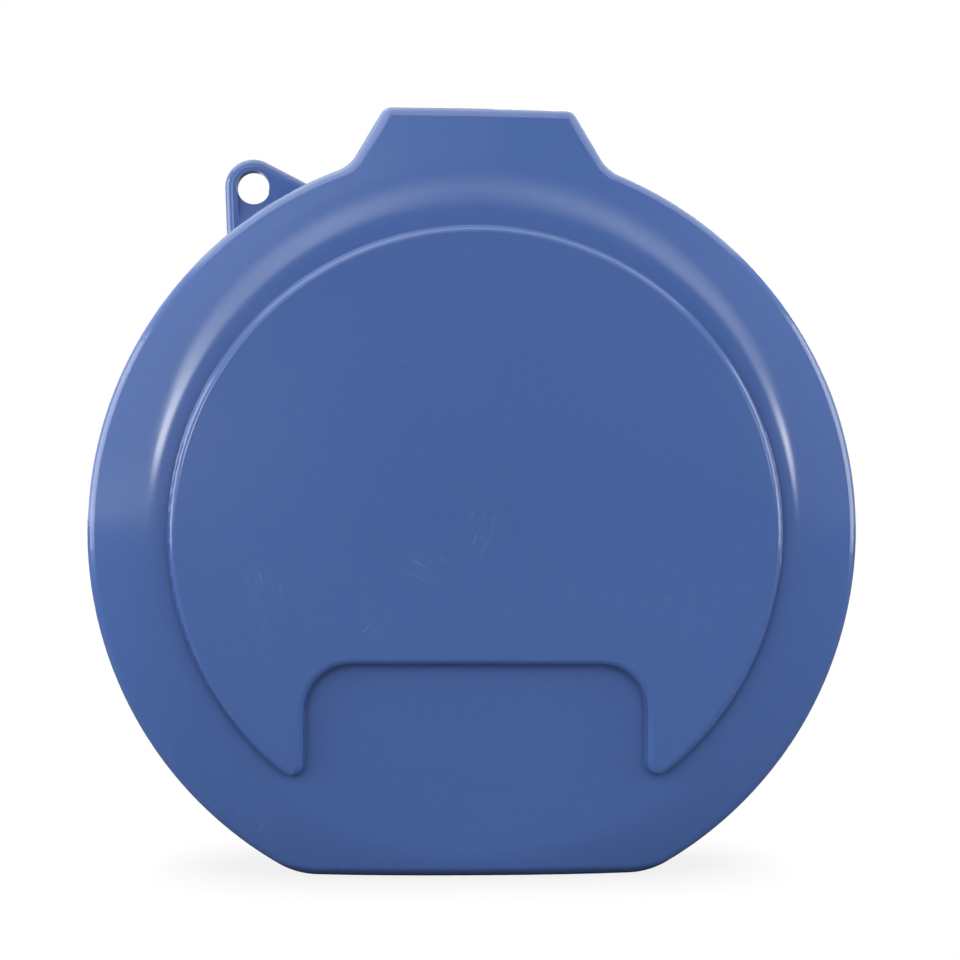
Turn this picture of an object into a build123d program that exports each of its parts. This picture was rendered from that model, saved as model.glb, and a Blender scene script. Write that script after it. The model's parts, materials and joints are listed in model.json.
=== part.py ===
"""Clamshell ice fishing tip-up: a round insulated hole cover that carries its own reel arm and flag.

The case is designed flat, in a working frame: X to the right, Y from the foot towards the hinge
tab, Z out of the lid's face, ice face at Z = 0, parting plane at Z = PART. place() turns every
piece into the row frame: the closed case stands on its flat foot, +Z up, lid face towards -Y,
origin in the middle of the foot, halfway through the case's thickness. Millimetres throughout.
"""

from build123d import *
from math import sin, cos, tan, radians, hypot
import os

os.makedirs("parts", exist_ok=True)

SIDES = (-1, 1)

# ---------------------------------------------------------------- driving dimensions
# HW is a half width, R a radius; Z0 and Z1 are lower and upper levels
WALL = 2.4             # moulded wall thickness
PART = 26.0            # height of the parting plane above the ice face
FOOT_Y = -133.4        # flat foot of both shells
LID_R = 150.0
TAB_TOP = 165.4        # straight edge of the lid's hinge tab
TAB_HW = 37.2          # at the straight edge
TAB_SLOPE = tan(radians(29.0))   # slope of the tab's sides from the Y axis
BASE_R = LID_R - 1.0
BASE_TAB_TOP = 152.1   # set back so that the lid can fold over behind it
BASE_TAB_HW = TAB_HW + (TAB_TOP - BASE_TAB_TOP) * TAB_SLOPE - 1.0

LID_Z0 = PART + 0.2    # lower edge of the lid's skirt
RING_Z = 46.0          # flat ring level of the lid
RING_FLAT_R = 122.6    # the ring starts to fall away here
# the ring's two bends: outer radius, slope in degrees reached there
RING_BENDS = [(127.3, 8.0), (142.6, 17.0)]
PLATEAU_Z = 51.0
PLATEAU_R = 117.5
POCKET_HW = 66.0       # pocket in the plateau
POCKET_Y = -50.2       # its closed end
POCKET_CORNER_R = 18.0
LINER_Z0 = 41.4        # lower face of the lid's insulation

HINGE_Y, HINGE_Z = 159.4, PART
KNUCKLE_R = 3.2
KNUCKLE_GAP = 0.4
HINGE_PIN_R = 1.25
# start and end of each knuckle along X
BASE_KNUCKLES = [(-30.0, -20.0), (-5.0, 5.0), (20.0, 30.0)]
LID_KNUCKLES = [
    (left[1] + KNUCKLE_GAP, right[0] - KNUCKLE_GAP)
    for left, right in zip(BASE_KNUCKLES, BASE_KNUCKLES[1:])
]

MAG_X, MAG_Y = 46.0, -126.2
MAG_R = 4.0
MAG_BOSS_R = 6.0

LUG_X, LUG_Y = -88.6, 134.9
LUG_HOLE_R = 6.4
LUG_R = 11.2
LUG_Z0, LUG_Z1 = 15.5, 22.0
LUG_EYE_Z = 18.5       # the eyelet's full wall runs from LUG_Z0 to here
LUG_SLOPE = radians(26.5)

PIVOT_Y, PIVOT_Z = -98.0, 12.5   # reel arm pivot
CHANNEL_HW = 12.5      # arm channel
CHANNEL_END = -131.0   # its end, inside the foot's wall
SPOOL_Y = 76.0
SPOOL_R = 33.0
SPOOL_Z0, SPOOL_Z1 = 8.0, 24.0
FLANGE = 2.0           # spool flange thickness
BAY_R = 37.5           # reel bay
BAY_EXIT_HW = 13.0     # extension of the bay towards the hinge
BAY_END = 115.0
BOLT_R = 3.0           # spool bolt and pivot screws

DECK_Z0, DECK_Z1 = PART - 2.5, PART
DOME_Z = 32.0
DECK_SCREW_R = 134.5
DECK_SCREWS = [
    (DECK_SCREW_R * cos(radians(angle)), DECK_SCREW_R * sin(radians(angle)))
    for angle in (22, 68, 112, 158, 196, 228, 312, 344)
]
THUMB_Y = FOOT_Y - 9.0           # centre of the spherical thumb notch

TUBE_R, TUBE_BORE_R = 6.35, 5.1
ROD_R = 1.5
ROD_END = 41.2
ROD_FOOT_Z = PIVOT_Z - 10.2
PLATE_Z0, PLATE_Z1 = 25.2, 28.2  # plate of the reel frame over the spool
GUIDE_Z = 15.0                   # line and line guide
ARM_SCREW_Y = 23.0
KNOB_Y = SPOOL_Y + 23.0

FLAG_X = 9.0
FLAG_Y, FLAG_Z = 127.0, 34.0     # flag pivot
FLAG_BORE_R = 1.55
BRACKET_SCREWS = [(FLAG_X + side * 12, FLAG_Y) for side in SIDES]
HOLDER_Y0 = 100
HOLDER_Z0, HOLDER_Z1 = 32.7, 36.6
STAFF_TIP = -100.5
STAFF_Z0, STAFF_Z1 = 34.2, 35.0
CLOTH_Y0, CLOTH_Y1, CLOTH_X1 = -62.0, 8.0, 88.0
HOLDER_RIVETS = [105.0, 113.0]   # Y of each rivet, all at FLAG_X
CLOTH_RIVETS = [CLOTH_Y0 + 8, (CLOTH_Y0 + CLOTH_Y1) / 2, CLOTH_Y1 - 8]


# ---------------------------------------------------------------- helpers
def cyl(x, y, z0, z1, radius):
    return Pos(x, y, (z0 + z1) / 2) * Cylinder(radius, z1 - z0)


def cyl_x(x0, x1, y, z, radius):
    return Pos((x0 + x1) / 2, y, z) * Rot(0, 90, 0) * Cylinder(radius, x1 - x0)


def cyl_y(x, y0, y1, z, radius):
    return Pos(x, (y0 + y1) / 2, z) * Rot(90, 0, 0) * Cylinder(radius, y1 - y0)


def box(x0, x1, y0, y1, z0, z1):
    return Pos((x0 + x1) / 2, (y0 + y1) / 2, (z0 + z1) / 2) * Box(x1 - x0, y1 - y0, z1 - z0)


def rect(half_width, y0, y1):
    return Pos(0, (y0 + y1) / 2) * Rectangle(2 * half_width, y1 - y0)


def polygon(*points):
    return make_face(Polyline(*points, close=True))


def slab(sketch, z0, z1):
    return Pos(0, 0, z0) * extrude(sketch, z1 - z0)


def prism_x(x0, x1, *yz_points):
    return extrude(Plane.YZ.offset(x0) * polygon(*yz_points), x1 - x0)


def span(side, near, far, middle=0.0):
    """X range from near to far on one side of middle, in rising order."""
    return sorted((middle + side * near, middle + side * far))


def edges_at_z(shape, z):
    return [e for e in shape.edges() if abs(e.center().Z - z) < 0.01]


def upright_edges(shape, y, min_height):
    return [
        e for e in shape.edges()
        if abs(e.center().Y - y) < 0.01 and e.bounding_box().size.Z > min_height
    ]


def try_fillet(shape, edges, sizes):
    """Fillet with the first radius that works, or leave the shape as it is.

    The guard is for the kernel refusing a radius that is too large for its neighbours.
    """
    for radius in sizes:
        try:
            rounded = fillet(edges, radius)
            if rounded.is_valid and rounded.volume > 0:
                return rounded
        except Exception:
            pass
    return shape


def place(shape):
    """Working frame to row frame: stand the case on its foot."""
    return Pos(0, PLATEAU_Z / 2, -FOOT_Y) * Rot(90, 0, 0) * shape


def save(name, built):
    """Write one STEP file from a shape or a list of shapes."""
    solids = []
    for shape in built if isinstance(built, list) else [built]:
        solids += list(place(shape).solids())
    piece = solids[0] if len(solids) == 1 else Compound(children=solids)
    export_step(piece, f"parts/{name}.step")


def pan_screw(x, y, z, shank_r, length, head_r, head_h):
    """Cross-slotted screw, with the underside of its head at z."""
    top = z + head_h
    screw = cyl(x, y, z - length, z, shank_r) + cyl(x, y, z, top, head_r)
    screw = fillet(edges_at_z(screw, top), head_h * 0.45)
    for dx, dy in ((2.1, 0.4), (0.4, 2.1)):
        screw = screw - box(x - dx, x + dx, y - dy, y + dy, top - 0.9, top + 1)
    return screw


def magnets(z0, z1):
    return [cyl(side * MAG_X, MAG_Y, z0, z1, MAG_R) for side in SIDES]


def hinge_bore():
    return cyl_x(-40, 40, HINGE_Y, HINGE_Z, HINGE_PIN_R + 0.05)


def flag_bore():
    return cyl_x(FLAG_X - 12, FLAG_X + 12, FLAG_Y, FLAG_Z, FLAG_BORE_R)


def thumb_notch(radius):
    return Pos(0, THUMB_Y, PART) * Sphere(radius)


# ---------------------------------------------------------------- outlines
def outline(inset, radius, tab_top, tab_hw, joint_r, foot_r):
    """Disc with a flat foot and a trapezoid tab, offset inwards by inset."""
    side_shift = inset / cos(radians(29.0))

    def half_width(y):
        return tab_hw + (tab_top - y) * TAB_SLOPE - side_shift

    top, root, foot = tab_top - inset, 100.0, FOOT_Y + inset
    disc = Circle(radius - inset) - rect(300, foot - 400, foot)
    sketch = disc + polygon(
        (-half_width(top), top), (half_width(top), top),
        (half_width(root), root), (-half_width(root), root),
    )
    tab_corners = [v for v in sketch.vertices() if v.Y > top - 0.5]
    sketch = fillet(tab_corners, max(5.0 - inset, 1.0))
    joints = [
        v for v in sketch.vertices()
        if 120 < v.Y < top - 3 and abs(hypot(v.X, v.Y) - (radius - inset)) < 0.3
    ]
    sketch = fillet(joints, joint_r + inset)
    return fillet([v for v in sketch.vertices() if v.Y < foot + 0.5], foot_r - inset)


def lid_outline(inset):
    return outline(inset, LID_R, TAB_TOP, TAB_HW, joint_r=14.0, foot_r=30.0)


def base_outline(inset):
    return outline(inset, BASE_R, BASE_TAB_TOP, BASE_TAB_HW, joint_r=10.0, foot_r=29.0)


def plateau_outline(inset):
    """Disc with a round-cornered pocket open towards the foot."""
    sketch = Circle(PLATEAU_R - inset)
    end = POCKET_Y + inset
    pocket = rect(POCKET_HW + inset, end - 200, end)
    pocket = fillet(
        [v for v in pocket.vertices() if v.Y > end - 1], POCKET_CORNER_R + inset
    )
    sketch = sketch - pocket
    mouth = [
        v for v in sketch.vertices()
        if v.Y < end - 30 and abs(hypot(v.X, v.Y) - (PLATEAU_R - inset)) < 0.3
    ]
    return fillet(mouth, 4.5 if inset == 0 else 2.0)


def well_outline(grow, exit_end, channel_end):
    """Reel bay, its extension towards the hinge and the arm channel, grown outwards."""
    return (
        Pos(0, SPOOL_Y) * Circle(BAY_R + grow)
        + rect(BAY_EXIT_HW + grow, SPOOL_Y, exit_end)
        + rect(CHANNEL_HW + grow, channel_end, SPOOL_Y)
    )


# ---------------------------------------------------------------- lid
def lid_profile(drop):
    """Solid under the lid's turned top surface, lowered by drop."""
    top = RING_Z - drop
    points, arcs, start = [(RING_FLAT_R, top)], [], 0.0
    for radius, slope in RING_BENDS:
        end = radians(slope)
        r0, z0 = points[-1]
        bend = (radius - r0) / (sin(end) - sin(start))
        middle = (start + end) / 2
        through = (
            r0 + bend * (sin(middle) - sin(start)),
            z0 - bend * (cos(start) - cos(middle)),
        )
        points.append((radius, z0 - bend * (cos(start) - cos(end))))
        arcs.append(ThreePointArc((r0, z0), through, points[-1]))
        start = end
    far_r = 190.0
    far_z = points[-1][1] - (far_r - points[-1][0]) * tan(start)
    wire = Wire(
        [Line((0, top), points[0])]
        + arcs
        + [
            Line(points[-1], (far_r, far_z)),
            Line((far_r, far_z), (far_r, 0)),
            Line((far_r, 0), (0, 0)),
            Line((0, 0), (0, top)),
        ]
    )
    return revolve(Plane.XZ * make_face(wire), axis=Axis.Z)


def rim_edges(body, flat_z):
    """Upper outer edge all the way round: the seam between side wall and top surface."""
    bend_radii = [RING_FLAT_R] + [radius for radius, _ in RING_BENDS]
    found = []
    for edge in body.edges():
        bounds = edge.bounding_box()
        if bounds.min.Z < LID_Z0 + 3 or edge.center().Z > flat_z - 0.6:
            continue
        if edge.geom_type == GeomType.LINE and bounds.size.Z > 1:
            continue
        point = edge.position_at(0.5)
        if min(abs(hypot(point.X, point.Y) - radius) for radius in bend_radii) < 0.6:
            continue
        found.append(edge)
    return found


def lid_block(inset, z0, rim_radii):
    body = slab(lid_outline(inset), z0, 70) & lid_profile(inset)
    return try_fillet(body, rim_edges(body, RING_Z - inset), rim_radii)


def plateau_block(inset, z0, edge_radii):
    top = PLATEAU_Z - inset
    block = slab(plateau_outline(inset), z0, top)
    return try_fillet(block, edges_at_z(block, top), edge_radii)


def skirt_gussets():
    """Radial gussets between the skirt and the ring, left out at the hinge and the foot."""
    gusset = extrude(
        Plane.XZ * polygon((126, 47), (150, 47), (150, 31), (146, 31), (126, 41.5)),
        0.8, both=True,
    )
    angles = [7.5 + 15 * i for i in range(24)]
    angles = [a for a in angles if not (75 < a < 105 or abs(a - 270) < 12)]
    ribs = Rot(0, 0, angles[0]) * gusset
    for angle in angles[1:]:
        ribs = ribs + Rot(0, 0, angle) * gusset
    return ribs


def lid_shell():
    outer = lid_block(0, LID_Z0, [5.5, 5.0, 4.5, 4.0, 3.0]) + plateau_block(0, 44.0, [2.7, 2.0])
    plateau_root = [
        e for e in outer.edges()
        if abs(e.center().Z - RING_Z) < 0.02 and e.bounding_box().size.Z < 0.01
        and hypot(e.position_at(0.5).X, e.position_at(0.5).Y) < RING_FLAT_R - 1
    ]
    outer = try_fillet(outer, plateau_root, [1.0, 0.7])
    inner = lid_block(WALL, LID_Z0 - 1, [3.4, 3.0, 2.5, 2.0])
    inner = inner + plateau_block(WALL, 43.0, [0.8, 0.4])
    lid = outer - inner
    lid = lid + (skirt_gussets() & inner)

    # magnet bosses at the foot, each tied to the skirt by a web
    for side in SIDES:
        x = side * MAG_X
        boss = cyl(x, MAG_Y, 26.5, 48, MAG_BOSS_R) + box(x - 1, x + 1, -134, MAG_Y, 30, 46)
        lid = lid + (boss & inner)
        lid = lid - cyl(x, MAG_Y, 26.0, 29.5, MAG_R + 0.05)

    # notches for the base's knuckles, then the lid's own knuckles
    for x0, x1 in BASE_KNUCKLES:
        lid = lid - box(x0 - KNUCKLE_GAP, x1 + KNUCKLE_GAP, HINGE_Y - 0.5, 170, 25.0, 30.2)
    web_end = TAB_TOP - 1.2
    for x0, x1 in LID_KNUCKLES:
        middle = (x0 + x1) / 2
        knuckle = cyl_x(x0, x1, HINGE_Y, HINGE_Z, KNUCKLE_R)
        web = box(x0, x1, HINGE_Y, web_end, HINGE_Z + 0.2, HINGE_Z + KNUCKLE_R)
        gusset = inner_gusset = box(
            middle - 1.2, middle + 1.2, HINGE_Y - 9, web_end, HINGE_Z + 3.0, 36
        )
        gusset = inner_gusset & inner
        lid = lid + knuckle + web + gusset
    return lid - hinge_bore()


def lid_foam():
    """Insulation bonded into the plateau."""
    liner = slab(plateau_outline(WALL + 1.2), LINER_Z0, PLATEAU_Z - WALL - 0.15)
    return try_fillet(liner, edges_at_z(liner, LINER_Z0), [1.5, 1.0])


def lid_magnets():
    return magnets(26.35, 29.4)


# ---------------------------------------------------------------- base
def lanyard_lug():
    """Rounded ear with an eyelet and a ramp that leads a cord into it."""
    tangent_x = LUG_X + LUG_R * sin(LUG_SLOPE)
    tangent_y = LUG_Y + LUG_R * cos(LUG_SLOPE)
    root_x = -46.0
    lug_root = polygon(
        (LUG_X - LUG_R, LUG_Y), (LUG_X - LUG_R + 1.2, 108.0), (LUG_X + 20, 96.0),
        (root_x, tangent_y - (root_x - tangent_x) * tan(LUG_SLOPE)),
        (tangent_x, tangent_y), (LUG_X, LUG_Y),
    )
    lug = slab(Pos(LUG_X, LUG_Y) * Circle(LUG_R) + lug_root, LUG_Z0, LUG_Z1)
    lug = try_fillet(lug, edges_at_z(lug, LUG_Z1), [3.2, 2.5, 1.0])
    lug = try_fillet(lug, edges_at_z(lug, LUG_Z0), [1.0, 0.6])
    lug = lug - cyl(LUG_X, LUG_Y, 0, 40, LUG_HOLE_R) - cyl(0, 0, -1, 40, BASE_R - 1.2)
    mouth_hw = LUG_HOLE_R - 0.05
    chute = Pos(LUG_X, LUG_Y, LUG_EYE_Z) * extrude(
        polygon((-mouth_hw, 0), (mouth_hw, 0), (5.4, -22), (-4.6, -22)), 20
    )
    ramp = prism_x(
        LUG_X - 10, LUG_X + 10,
        (LUG_Y, 30), (LUG_Y, LUG_EYE_Z), (LUG_Y - 4.5, LUG_EYE_Z),
        (LUG_Y - 15.5, LUG_Z1 + 0.5), (LUG_Y - 15.5, 30),
    )
    return lug - (chute & ramp)


def base_shell():
    block = slab(base_outline(0), 0, PART)
    block = try_fillet(block, edges_at_z(block, 0), [4.0, 3.0, 2.0])
    base = block - slab(base_outline(WALL), WALL, PART + 1)

    # fittings start 0.2 inside the floor and walls so that they fuse
    floor = WALL - 0.2
    room = slab(base_outline(floor), floor, DECK_Z0)
    base = base + (slab(well_outline(WALL, BAY_END + WALL, -132.5), 0.2, DECK_Z0) & room)
    # pivot ears
    for side in SIDES:
        x0, x1 = span(side, CHANNEL_HW, 17.0)
        base = base + (cyl_x(x0, x1, PIVOT_Y, PIVOT_Z, 8.0) & room)
        base = base + box(x0, x1, PIVOT_Y - 8, PIVOT_Y + 8, floor, PIVOT_Z)
    # deck screw bosses
    for x, y in DECK_SCREWS:
        base = base + (cyl(x, y, floor, DECK_Z0, 4.0) & room)
    # magnet bosses
    for side in SIDES:
        boss = cyl(side * MAG_X, MAG_Y, floor, 25.95, MAG_BOSS_R)
        base = base + (boss & slab(base_outline(floor), 0, PART))
        base = base - cyl(side * MAG_X, MAG_Y, 22.8, 27, MAG_R + 0.05)
    # open the well through the ice face, then drill
    base = base - slab(well_outline(0, BAY_END, CHANNEL_END), -1, DECK_Z0 + 1)
    for x, y in DECK_SCREWS:
        base = base - cyl(x, y, 12.0, 27, 1.4)
    for side in SIDES:
        base = base - cyl_x(*span(side, 11, 18), PIVOT_Y, PIVOT_Z, BOLT_R + 0.05)
    base = base + lanyard_lug()

    # hinge knuckles, their webs and a gusset under each web
    tab = BASE_TAB_TOP
    for x0, x1 in BASE_KNUCKLES:
        base = base + cyl_x(x0, x1, HINGE_Y, HINGE_Z, KNUCKLE_R)
        base = base + box(x0, x1, tab - 1.0, HINGE_Y, 22.2, HINGE_Z - 0.05)
        base = base + prism_x(x0, x1, (tab - 1, 22.4), (tab + 1.1, 22.4), (tab - 1, 12))
    base = base - hinge_bore()

    # shallow grip grooves on the ice face, interrupted at the middle, foot and tab
    for radius in (127.0, 133.0, 139.0):
        groove = cyl(0, 0, -1, 0.8, radius + 1.0) - cyl(0, 0, -2, 2, radius - 1.0)
        groove = (
            groove
            - box(-20.9, 20.9, -200, 200, -2, 2)
            - box(-200, 200, -200, -126, -2, 2)
            - box(-70, 70, 120, 200, -2, 2)
        )
        base = base - groove
    return base - thumb_notch(10.2)


def base_foam():
    """Insulation around the well, clear of the pivot ears and bosses."""
    foam = slab(base_outline(WALL + 0.4), WALL + 0.1, DECK_Z0 - 0.2)
    foam = (
        foam
        - slab(well_outline(WALL + 0.3, BAY_END + 3, -140), 0, 40)
        - box(-21, 21, PIVOT_Y - 9, PIVOT_Y + 9, 0, 40)
    )
    for x, y in DECK_SCREWS:
        foam = foam - cyl(x, y, 0, 40, 4.6)
    for side in SIDES:
        foam = foam - cyl(side * MAG_X, MAG_Y, 0, 40, MAG_BOSS_R + 0.6)
    return foam.solids()


def base_magnets():
    return magnets(22.85, 25.9)


# ---------------------------------------------------------------- deck
def deck_plate():
    deck = slab(base_outline(WALL + 0.3), DECK_Z0 + 0.05, DECK_Z1)
    rim = slab(base_outline(WALL + 1.6), DECK_Z1 - 0.5, 29.0)
    rim = rim - slab(base_outline(WALL + 3.4), DECK_Z1 - 1, 30)
    rim = rim - box(-34, 34, 140, 160, 25, 31) - box(-60, 60, -140, -118, 25, 31)
    deck = deck + rim

    # raised dome over the reel
    dome_start, dome_hw = 8, CHANNEL_HW + WALL
    dome_sketch = (
        Pos(0, SPOOL_Y) * Circle(BAY_R + WALL)
        + rect(dome_hw, dome_start, SPOOL_Y)
        + rect(dome_hw, 76.5, 117.5)
    )
    hollow_sketch = (
        Pos(0, SPOOL_Y) * Circle(BAY_R)
        + rect(CHANNEL_HW, dome_start + WALL, SPOOL_Y - WALL)
        + rect(CHANNEL_HW, SPOOL_Y, BAY_END)
    )
    dome = slab(dome_sketch, DECK_Z0 + 0.05, DOME_Z)
    dome = try_fillet(dome, edges_at_z(dome, DOME_Z), [2.0, 1.5, 1.0])
    deck = deck + dome - slab(hollow_sketch, DECK_Z0 - 1, DOME_Z - 2.3)

    # slot over the pivot
    slot_y0, slot_y1 = -129.6, -84.0
    slot = Pos(0, (slot_y0 + slot_y1) / 2) * RectangleRounded(24.4, slot_y1 - slot_y0, 4)
    deck = deck - slab(slot, DECK_Z0 - 1, 40)
    # stiffening ribs on top, each side of the channel
    for side in SIDES:
        for y in (-70, -35, 0):
            deck = deck + box(*span(side, 40, 96), y - 1.0, y + 1.0, DECK_Z1 - 0.5, DECK_Z1 + 2.0)
    for x, y in DECK_SCREWS:
        deck = deck + cyl(x, y, DECK_Z1 - 1, DECK_Z1 + 0.8, 5.0)
        deck = deck - cyl(x, y, 20, 40, 1.7)
    for side in SIDES:
        deck = deck - cyl(side * MAG_X, MAG_Y, 20, 40, MAG_BOSS_R + 0.5)
    for x, y in BRACKET_SCREWS:
        deck = deck - cyl(x, y, 20, 40, 1.3)
    deck = deck - thumb_notch(10.6)
    return deck.solids()


def deck_screws():
    return [
        pan_screw(x, y, DECK_Z1 + 0.8, shank_r=1.35, length=13.5, head_r=3.3, head_h=1.7)
        for x, y in DECK_SCREWS
    ]


# ---------------------------------------------------------------- hinge pin
def hinge_pin():
    shank = cyl_x(-32.4, 31.8, HINGE_Y, HINGE_Z, HINGE_PIN_R)
    return shank + cyl_x(-33.4, -30.3, HINGE_Y, HINGE_Z, 2.3)


def hinge_pin_cap():
    cap = cyl_x(30.3, 33.4, HINGE_Y, HINGE_Z, 2.6)
    return cap - cyl_x(30.0, 32.2, HINGE_Y, HINGE_Z, HINGE_PIN_R + 0.02)


# ---------------------------------------------------------------- flag
def flag_bracket():
    """Plate on the deck with two ears for the flag pin."""
    bracket = box(FLAG_X - 15.5, FLAG_X + 15.5, 119.6, 135.0, DECK_Z1 + 0.02, DECK_Z1 + 1.5)
    for side, (screw_x, screw_y) in zip(SIDES, BRACKET_SCREWS):
        x0, x1 = span(side, 6.4, 8.4, FLAG_X)
        ear = prism_x(
            x0, x1,
            (121, DECK_Z1 + 1), (134, DECK_Z1 + 1), (131.5, FLAG_Z + 1),
            (131, FLAG_Z + 2), (123, FLAG_Z + 2), (122.5, FLAG_Z + 1),
        )
        ear = ear + cyl_x(x0, x1, FLAG_Y, FLAG_Z, 4.6)
        bracket = bracket + ear
        bracket = bracket - cyl(screw_x, screw_y, 20, 40, 1.7)
    return bracket - flag_bore()


def bracket_screws():
    return [
        pan_screw(x, y, DECK_Z1 + 1.5, shank_r=1.2, length=4.0, head_r=2.7, head_h=1.4)
        for x, y in BRACKET_SCREWS
    ]


def flag_pin():
    pin = cyl_x(FLAG_X - 9.6, FLAG_X + 9.6, FLAG_Y, FLAG_Z, 1.5)
    return pin + cyl_x(FLAG_X - 10.6, FLAG_X - 8.5, FLAG_Y, FLAG_Z, 2.6)


def drill_rivets(shape, rivet_ys):
    for y in rivet_ys:
        shape = shape - cyl(FLAG_X, y, 30, 40, 1.25)
    return shape


def flag_holder():
    """Barrel on the flag pin with a slotted tongue for the staff."""
    x0, x1 = FLAG_X - 6.0, FLAG_X + 2.6
    holder = (
        cyl_x(x0, x1, FLAG_Y, FLAG_Z, 4.2)
        + box(x0, FLAG_X + 6.0, HOLDER_Y0, FLAG_Y - 4.6, HOLDER_Z0, HOLDER_Z1)
        + box(x0, x1, FLAG_Y - 8, FLAG_Y, HOLDER_Z0, HOLDER_Z1)
    )
    holder = try_fillet(holder, upright_edges(holder, HOLDER_Y0, 3), [3.0, 2.0])
    holder = holder - box(
        FLAG_X - 4.1, FLAG_X + 4.1, 90, 118.2, STAFF_Z0 - 0.05, STAFF_Z1 + 0.05
    )
    return drill_rivets(holder - flag_bore(), HOLDER_RIVETS)


def flag_staff():
    staff = box(FLAG_X - 4, FLAG_X + 4, STAFF_TIP, 118.0, STAFF_Z0, STAFF_Z1)
    staff = try_fillet(staff, upright_edges(staff, STAFF_TIP, 0.5), [2.5])
    return drill_rivets(staff, HOLDER_RIVETS + CLOTH_RIVETS)


def flag_cloth():
    cloth = box(FLAG_X - 4.5, CLOTH_X1, CLOTH_Y0, CLOTH_Y1, STAFF_Z1 + 0.05, 36.05)
    return drill_rivets(cloth, CLOTH_RIVETS)


def rivet(y, levels, head_r):
    """levels: Z of the tail's end, both ends of the shank, and the top of the head."""
    tail, low, high, top = levels
    return (
        cyl(FLAG_X, y, low, high, 1.2)
        + cyl(FLAG_X, y, high, top, head_r)
        + cyl(FLAG_X, y, tail, low, 2.0)
    )


def flag_rivets():
    return [rivet(y, (32.1, 32.65, 36.65, 37.5), 2.2) for y in HOLDER_RIVETS] + [
        rivet(y, (33.5, 34.15, 36.1, 36.9), 2.3) for y in CLOTH_RIVETS
    ]


def flag_spring():
    """Coil around the flag pin."""
    pitch, turns = 0.95, 3.0
    helix = Helix(pitch=pitch, height=pitch * turns, radius=2.45)
    section = Plane(origin=helix @ 0, z_dir=helix % 0) * Circle(0.4)
    coil = sweep(section, path=helix, is_frenet=True)
    return Pos(FLAG_X + 3.15, FLAG_Y, FLAG_Z) * Rot(0, 90, 0) * coil


# ---------------------------------------------------------------- reel arm
def pivot_block():
    block = box(-11.6, 11.6, PIVOT_Y - 9, PIVOT_Y + 9, PIVOT_Z - 9, PIVOT_Z + 9)
    long_edges = [e for e in block.edges() if e.bounding_box().size.X > 20]
    block = try_fillet(block, long_edges, [4.0, 3.0])
    block = block - cyl_y(0, PIVOT_Y - 20, PIVOT_Y + 20, PIVOT_Z, TUBE_R + 0.05)
    for side in SIDES:
        block = block - cyl_x(*span(side, 7.3, 13), PIVOT_Y, PIVOT_Z, 4.05)
    return block - cyl(0, PIVOT_Y, 0, 7, 1.55)


def pivot_bushes():
    return [
        cyl_x(*span(side, 7.4, 11.65), PIVOT_Y, PIVOT_Z, 4.0)
        + cyl_x(*span(side, 11.65, 12.35), PIVOT_Y, PIVOT_Z, 6.0)
        - cyl_x(*span(side, 7, 13), PIVOT_Y, PIVOT_Z, BOLT_R + 0.05)
        for side in SIDES
    ]


def pivot_screws():
    screws = []
    for side in SIDES:
        screw = cyl_x(*span(side, 7.7, 17.1), PIVOT_Y, PIVOT_Z, BOLT_R)
        screw = screw + cyl_x(*span(side, 17.05, 20.0), PIVOT_Y, PIVOT_Z, 5.2)
        slot = box(
            *span(side, 18.8, 21), PIVOT_Y - 6, PIVOT_Y + 6, PIVOT_Z - 0.6, PIVOT_Z + 0.6
        )
        screws.append(screw - slot)
    return screws


def arm_tube():
    tube = cyl_y(0, PIVOT_Y - 12, 30, PIVOT_Z, TUBE_R)
    return tube - cyl_y(0, PIVOT_Y - 13, 31, PIVOT_Z, TUBE_BORE_R)


def tube_bush_upper():
    """Flanged bush at the pivot end of the tube."""
    return (
        cyl_y(0, PIVOT_Y - 15, PIVOT_Y - 12.05, PIVOT_Z, TUBE_R)
        + cyl_y(0, PIVOT_Y - 12.1, PIVOT_Y - 5, PIVOT_Z, TUBE_BORE_R - 0.05)
        - cyl_y(0, PIVOT_Y - 20, PIVOT_Y, PIVOT_Z, ROD_R + 0.06)
    )


def tube_bush_lower():
    bush = cyl_y(0, 22, 30, PIVOT_Z, TUBE_BORE_R - 0.05)
    return bush - cyl_y(0, 10, 40, PIVOT_Z, ROD_R + 0.06)


def reel_frame():
    """Block on the tube's end, plate over the spool, and an end wall for the line guide."""
    frame = box(-9, 9, 14, 37.5, PIVOT_Z - 9, PLATE_Z1)
    low_edges = [
        e for e in frame.edges() if e.bounding_box().size.Y > 20 and e.center().Z < 10
    ]
    frame = try_fillet(frame, low_edges, [4.0])
    frame = (
        frame
        + box(-8, 8, 30, 113.5, PLATE_Z0, PLATE_Z1)
        + cyl(0, SPOOL_Y, PLATE_Z0, PLATE_Z1, 13)
        + box(-6, 6, 110.5, 113.5, 9, PLATE_Z1)
    )
    # tube socket and rod passage, then the bolt, screw and guide holes
    frame = frame - cyl_y(0, 13, 30.2, PIVOT_Z, TUBE_R + 0.05) - cyl_y(0, 29, 40, PIVOT_Z, 2.2)
    frame = (
        frame
        - cyl(0, SPOOL_Y, 20, 30, BOLT_R + 0.05)
        - cyl(0, ARM_SCREW_Y, 0, 8, 1.55)
        - cyl_y(0, 110, 114, GUIDE_Z, 3.35)
    )
    # two holes through the plate
    return frame - cyl(0, 50, 20, 30, 4.0) - cyl(0, 100, 20, 30, 3.4)


def line_guide():
    return (
        cyl_y(0, 110.45, 113.55, GUIDE_Z, 3.3)
        + cyl_y(0, 109.9, 110.45, GUIDE_Z, 4.3)
        + cyl_y(0, 113.55, 114.0, GUIDE_Z, 4.3)
        - cyl_y(0, 109, 115, GUIDE_Z, 2.0)
    )


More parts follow.
